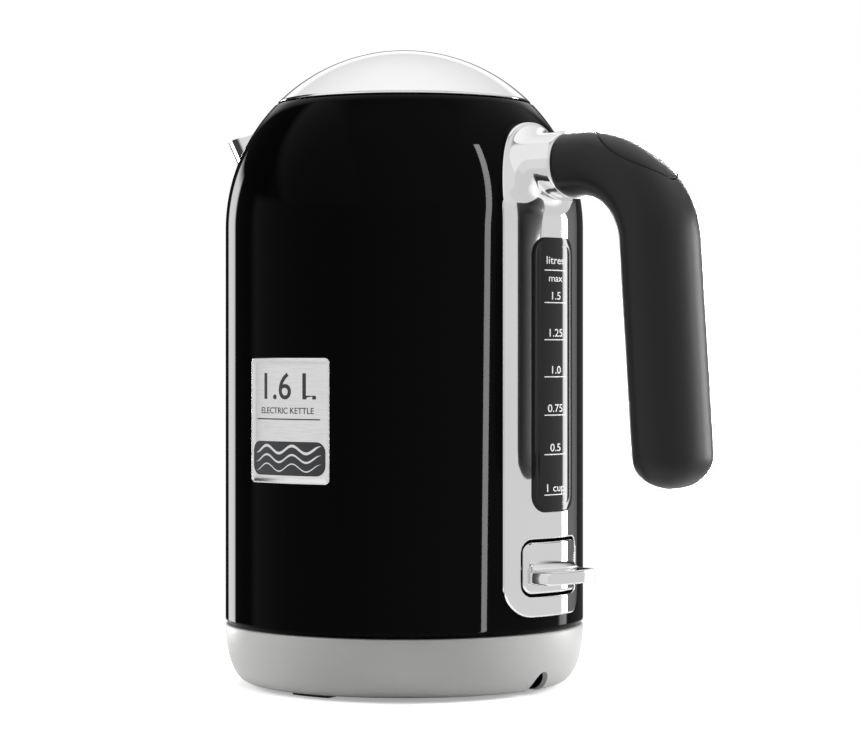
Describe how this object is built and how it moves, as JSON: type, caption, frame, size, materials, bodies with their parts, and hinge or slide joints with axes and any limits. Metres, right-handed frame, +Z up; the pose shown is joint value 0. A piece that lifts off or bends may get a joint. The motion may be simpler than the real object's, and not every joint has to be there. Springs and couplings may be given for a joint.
{
  "type": "electric kettle",
  "caption": "Cordless electric kettle: round domed body with chrome lid, beak spout, arched handle, water gauge, rocker switch and round power base.",
  "frame": {"origin": "on the table, on the axis of the round body", "axes": "+Z up along the body's axis, +X towards the handle, -X towards the spout"},
  "size_m": [0.2434, 0.1506, 0.2654],
  "materials": {
    "grey_plastic": "satin moulded",
    "black_plastic": "fine moulded",
    "rubber": "matt",
    "black_enamel": "high gloss paint",
    "soft_black": "satin soft touch",
    "chrome": "polished",
    "steel": "brushed",
    "silicone": "matt",
    "aluminium": "cast",
    "brass": "plated",
    "ivory_plastic": "moulded",
    "smoked_glass": "clear smoked",
    "badge_metal": "satin",
    "steel_mesh": "woven"
  },
  "bodies": {
    "power_base": {"power_base_shell": "grey_plastic", "power_base_bottom": "black_plastic", "base_feet": "rubber", "base_connector": "black_plastic", "base_contacts": "brass", "base_screws": "steel"},
    "kettle": {"body_shell": "black_enamel", "lid_seat_ring": "black_plastic", "heater_plate": "steel", "heater_seal": "silicone", "heat_spreader": "aluminium", "heating_element": "steel", "control_unit": "ivory_plastic", "kettle_connector": "black_plastic", "kettle_contacts": "brass", "bottom_cover": "black_plastic", "bottom_screws": "steel", "spout": "chrome", "filter_holder": "black_plastic", "handle_plate": "chrome", "handle_core": "steel", "handle_grip": "soft_black", "handle_screws": "steel", "gauge_window": "smoked_glass", "gauge_seal": "silicone", "gauge_clamp": "black_plastic", "steam_tube": "ivory_plastic", "switch_bezel": "black_plastic", "switch_pin": "steel", "trip_pin": "steel", "badge_plate": "badge_metal", "hinge_bracket": "steel", "hinge_pin": "steel", "hinge_spring": "steel", "button_spring": "steel"},
    "filter": {"filter_frame": "black_plastic", "filter_mesh": "steel_mesh"},
    "switch": {"switch_rocker": "chrome"},
    "trip": {"trip_lever": "ivory_plastic"},
    "lid": {"lid_dome": "chrome", "lid_liner": "black_plastic"},
    "button": {"thumb_button": "soft_black"},
    "release": {"release_rod": "steel"}
  },
  "joints": [
    {"name": "kettle_lift", "type": "slide", "parent": "power_base", "child": "kettle", "axis": [0, 0, 1], "range_m": [0, 0.06]},
    {"name": "lid_hinge", "type": "hinge", "parent": "kettle", "child": "lid", "pos_m": [0.053, 0, 0.233], "axis": [0, 1, 0], "range_deg": [0, 70]},
    {"name": "filter_slide", "type": "slide", "parent": "kettle", "child": "filter", "axis": [1, 0, 0], "range_m": [0, 0.02]},
    {"name": "switch_rock", "type": "hinge", "parent": "kettle", "child": "switch", "pos_m": [0.069, 0, 0.0525], "axis": [0, 1, 0], "range_deg": [0, 6], "stiffness_Nm_per_rad": 0.3, "springref_deg": -9.74},
    {"name": "trip_rock", "type": "hinge", "parent": "kettle", "child": "trip", "pos_m": [0.05, 0, 0.0483], "axis": [0, -1, 0], "range_deg": [0, 1.8]},
    {"name": "button_press", "type": "slide", "parent": "kettle", "child": "button", "axis": [-0.515, 0, -0.8572], "range_m": [0, 0.003], "stiffness_N_per_m": 400, "springref_m": -0.002, "deforming": ["button_spring"]},
    {"name": "release_slide", "type": "slide", "parent": "kettle", "child": "release", "axis": [-1, 0, 0], "range_m": [0, 0.0016]}
  ],
  "couplings": [
    {"joint": "trip_rock", "follows": "switch_rock", "ratio": 0.3},
    {"joint": "release_slide", "follows": "button_press", "ratio": 0.51504}
  ]
}
